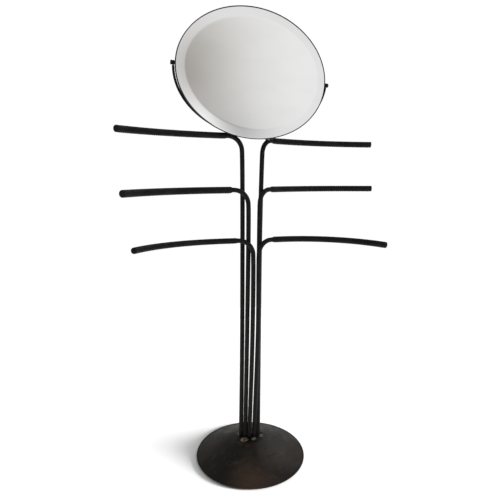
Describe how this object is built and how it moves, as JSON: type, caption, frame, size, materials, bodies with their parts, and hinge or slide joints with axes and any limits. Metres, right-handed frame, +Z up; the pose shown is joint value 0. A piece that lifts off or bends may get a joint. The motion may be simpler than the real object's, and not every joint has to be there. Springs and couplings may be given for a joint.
{
  "type": "valet stand",
  "caption": "Wrought-iron valet stand: domed round base, bundle of bent rods ending in sleeved curved arms, oval tilting bevelled mirror in a U-shaped yoke.",
  "frame": {"origin": "on the floor, at the centre of the round base's pad", "axes": "+Z up, +X towards the user's right along the arms' spread, -Y towards the user, the way the mirror faces"},
  "size_m": [0.8645, 0.4189, 1.4209],
  "materials": {
    "iron_black": "satin black wax over hammered iron",
    "iron_bronze": "dark bronze patina, satin",
    "grip_black": "matt black wrap",
    "braze_brown": "dull brown braze",
    "steel_grey": "dull bare steel",
    "mirror_silver": "polished, bevelled edge",
    "board_brown": "plain hardboard",
    "pad_black": "felt",
    "nylon_black": "matt",
    "cast_grey": "rough cast"
  },
  "bodies": {
    "stand": {"base_dome": "iron_bronze", "base_pad": "pad_black", "base_ballast": "cast_grey", "base_stud": "steel_grey", "base_nut": "steel_grey", "rod_left_top": "iron_black", "rod_left_middle": "iron_black", "rod_left_low": "iron_black", "rod_right_top": "iron_black", "rod_right_middle": "iron_black", "rod_right_low": "iron_black", "sleeve_left_top": "grip_black", "sleeve_left_middle": "grip_black", "sleeve_left_low": "grip_black", "sleeve_right_top": "grip_black", "sleeve_right_middle": "grip_black", "sleeve_right_low": "grip_black", "braze_left": "braze_brown", "braze_front": "steel_grey", "braze_right": "steel_grey", "braze_rear_left": "steel_grey", "braze_rear_right": "steel_grey", "braze_centre": "steel_grey", "yoke_bow": "iron_black", "weld_left": "steel_grey", "weld_right": "steel_grey", "yoke_bush_left": "iron_black", "yoke_bush_right": "iron_black"},
    "mirror": {"mirror_pan": "iron_black", "mirror_glass": "mirror_silver", "mirror_board": "board_brown", "pivot_stud_left": "iron_black", "pivot_stud_right": "iron_black", "pivot_washer_left": "nylon_black", "pivot_washer_right": "nylon_black", "pivot_knob_left": "iron_black", "pivot_knob_right": "iron_black"}
  },
  "joints": [
    {"name": "mirror_tilt", "type": "hinge", "parent": "stand", "child": "mirror", "pos_m": [0.012, -0.007, 1.235], "axis": [-0.9988, 0, 0.0489], "range_deg": [-1.5, 40]}
  ]
}
